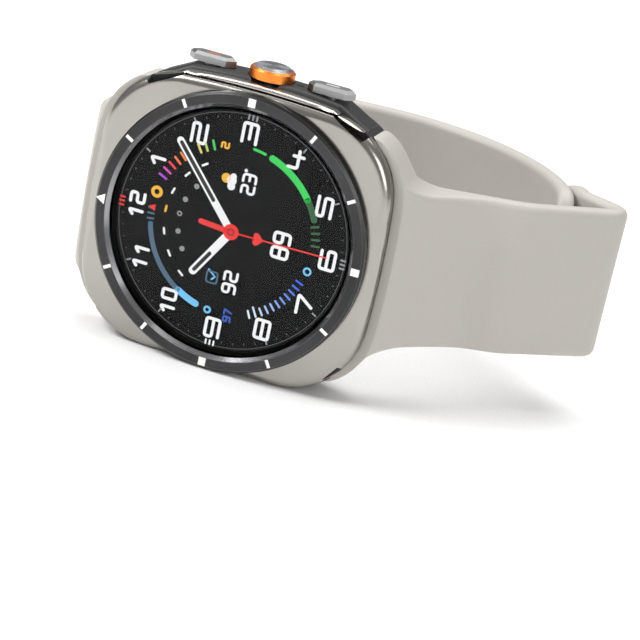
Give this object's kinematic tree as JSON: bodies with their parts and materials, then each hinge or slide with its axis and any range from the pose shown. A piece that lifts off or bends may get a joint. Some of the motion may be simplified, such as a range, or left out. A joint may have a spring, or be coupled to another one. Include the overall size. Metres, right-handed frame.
{
  "type": "smartwatch",
  "caption": "Rugged cushion-cased smartwatch with round display, raised bezel ring, guarded side buttons and a closed elastomer strap on a stud closure.",
  "frame": {"origin": "middle of the flat land on the case's 9 o'clock flank, which the watch rests on", "axes": "-Y out of the dial, +X towards 6 o'clock, +Z towards the buttons at 3 o'clock, away from the surface it stands on"},
  "size_m": [0.0818, 0.0596, 0.0472],
  "materials": {
    "satin_metal": "satin warm grey",
    "dark_metal": "matte charcoal",
    "ring_metal": "brushed gunmetal",
    "bright_metal": "polished",
    "marker_white": "white enamel",
    "sapphire": "clear",
    "seal_rubber": "matte",
    "display_black": "gloss",
    "support_steel": "brushed",
    "board_green": "solder mask",
    "chip_black": "matte",
    "battery_wrap": "matte film",
    "flex_amber": "polyimide film",
    "copper": "lacquered copper",
    "ferrite": "matte",
    "ceramic_black": "gloss ceramic",
    "sensor_dark": "gloss",
    "button_metal": "satin",
    "orange_metal": "anodised, brushed",
    "orange_enamel": "enamel",
    "light_enamel": "enamel",
    "screw_steel": "brushed",
    "spring_steel": "bright",
    "strap_elastomer": "matte warm light grey"
  },
  "bodies": {
    "case_body": {"mid_frame": "dark_metal", "front_plate": "satin_metal", "bezel_ring": "ring_metal", "bezel_markers": "marker_white", "guard_rim": "bright_metal", "case_back": "dark_metal", "sensor_window": "ceramic_black", "case_screws": "screw_steel", "cover_glass": "sapphire", "glass_seal": "seal_rubber", "display_panel": "display_black", "display_frame": "support_steel", "display_flex": "flex_amber", "main_board": "board_green", "board_chips": "chip_black", "board_shield": "support_steel", "battery": "battery_wrap", "haptic_motor": "support_steel", "speaker": "chip_black", "microphone": "support_steel", "pressure_sensor": "support_steel", "button_flex": "flex_amber", "speaker_mesh": "support_steel", "button_switches": "support_steel", "coil_ferrite": "ferrite", "charging_coil": "copper", "sensor_board": "board_green", "optical_sensors": "sensor_dark", "rear_seal": "seal_rubber", "strap_6_base": "strap_elastomer", "strap_12": "strap_elastomer", "closure_stud": "bright_metal", "strap_coupling_12": "button_metal", "strap_coupling_6": "button_metal", "release_spring_12": "spring_steel", "release_spring_6": "spring_steel"},
    "home_button_body": {"home_button": "button_metal", "home_button_dash": "orange_enamel", "home_button_seal": "seal_rubber", "home_button_clip": "spring_steel"},
    "quick_button_body": {"quick_button_cap": "button_metal", "quick_button_collar": "orange_metal", "quick_button_seal": "seal_rubber", "quick_button_clip": "spring_steel"},
    "back_button_body": {"back_button": "button_metal", "back_button_dash": "light_enamel", "back_button_seal": "seal_rubber", "back_button_clip": "spring_steel"},
    "release_12_body": {"release_button_12": "button_metal"},
    "release_6_body": {"release_button_6": "button_metal"},
    "strap_end_body": {"strap_6_end": "strap_elastomer"}
  },
  "joints": [
    {"name": "home_press", "type": "slide", "parent": "case_body", "child": "home_button_body", "axis": [0, 0, -1], "range_m": [0, 0.0004], "stiffness_N_per_m": 1500},
    {"name": "quick_press", "type": "slide", "parent": "case_body", "child": "quick_button_body", "axis": [0, 0, -1], "range_m": [0, 0.0004], "stiffness_N_per_m": 1500},
    {"name": "back_press", "type": "slide", "parent": "case_body", "child": "back_button_body", "axis": [0, 0, -1], "range_m": [0, 0.0004], "stiffness_N_per_m": 1500},
    {"name": "release_12_press", "type": "slide", "parent": "case_body", "child": "release_12_body", "axis": [0, -1, 0], "range_m": [0, 0.0006], "stiffness_N_per_m": 800, "deforming": ["release_spring_12"]},
    {"name": "release_6_press", "type": "slide", "parent": "case_body", "child": "release_6_body", "axis": [0, -1, 0], "range_m": [0, 0.0006], "stiffness_N_per_m": 800, "deforming": ["release_spring_6"]},
    {"name": "strap_end_open", "type": "hinge", "parent": "case_body", "child": "strap_end_body", "pos_m": [0.05377, 0.02427, 0.0219], "axis": [0, 0, -1], "range_deg": [0, 100], "stiffness_Nm_per_rad": 0.02}
  ]
}
